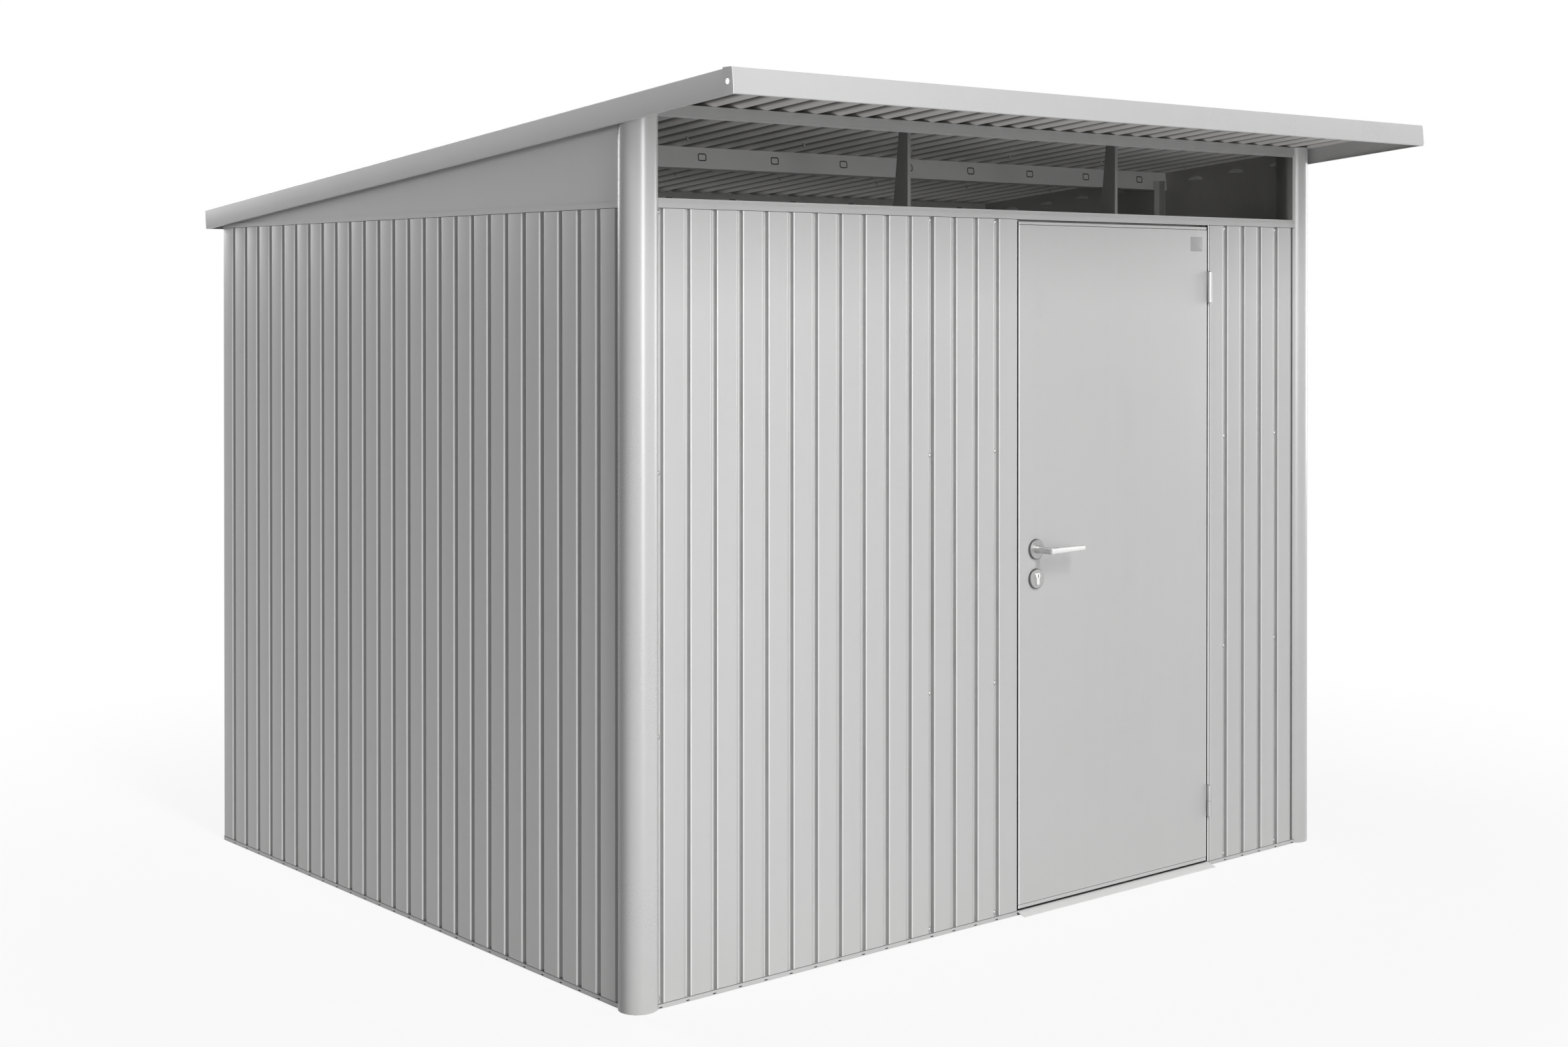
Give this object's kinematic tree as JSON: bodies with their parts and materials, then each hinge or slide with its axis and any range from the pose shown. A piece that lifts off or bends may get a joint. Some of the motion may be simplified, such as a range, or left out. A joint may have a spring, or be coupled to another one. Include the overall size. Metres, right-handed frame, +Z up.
{
  "type": "metal storage shed",
  "caption": "Metal storage shed with ribbed plank walls, a lean-to roof with a deep front overhang, a clear window band under the eaves and a hinged door with a lever handle.",
  "frame": {"origin": "on the ground under the middle of the whole shed's box, roof overhangs included", "axes": "+Z up, the front wall with the door faces -Y, +X to the right as seen from the front"},
  "size_m": [2.6012, 2.6078, 2.171],
  "materials": {
    "silver_paint": "satin silver powder coat",
    "grey_paint": "satin silver powder coat",
    "roof_paint": "satin grey coat on corrugated sheet",
    "clear_pane": "clear sheet",
    "hinge_metal": "satin silver",
    "lock_metal": "satin steel"
  },
  "bodies": {
    "shed": {"base_rail_left": "silver_paint", "base_rail_right": "silver_paint", "base_rail_back": "silver_paint", "base_rail_front_left": "silver_paint", "base_rail_front_right": "silver_paint", "front_post_left": "silver_paint", "front_post_right": "silver_paint", "front_wall_left": "silver_paint", "front_wall_middle": "silver_paint", "front_wall_right": "silver_paint", "left_wall_rear": "silver_paint", "left_wall_front": "silver_paint", "right_wall_front": "silver_paint", "right_wall_rear": "silver_paint", "back_wall_left": "silver_paint", "back_wall_right": "silver_paint", "top_rail_left": "silver_paint", "top_rail_right": "silver_paint", "top_rail_back": "silver_paint", "header_rail": "silver_paint", "window_top_rail": "silver_paint", "gable_left": "silver_paint", "gable_right": "silver_paint", "gable_back": "silver_paint", "fascia_front": "silver_paint", "fascia_left": "silver_paint", "fascia_right": "silver_paint", "fascia_back": "silver_paint", "door_sill": "silver_paint", "door_jamb_left": "silver_paint", "door_jamb_right": "silver_paint", "door_head": "silver_paint", "rear_posts": "grey_paint", "mullions": "grey_paint", "purlins": "grey_paint", "side_uprights": "grey_paint", "roof_sheets": "roof_paint", "window_pane": "clear_pane", "hinge_frame_halves": "hinge_metal"},
    "door": {"door_leaf": "silver_paint", "door_stiffeners": "grey_paint", "hinge_door_halves": "hinge_metal", "lock_case": "lock_metal", "lock_cylinder": "lock_metal", "rosettes": "lock_metal"},
    "lever": {"lever_handle": "lock_metal"}
  },
  "joints": [
    {"name": "door_swing", "type": "hinge", "parent": "shed", "child": "door", "pos_m": [0.797, -0.91506, 0], "axis": [0, 0, 1], "range_deg": [0, 110]},
    {"name": "lever_turn", "type": "hinge", "parent": "door", "child": "lever", "pos_m": [0.068, -0.90806, 0.983], "axis": [0, 1, 0], "range_deg": [0, 40], "stiffness_Nm_per_rad": 2, "springref_deg": -20.05}
  ]
}
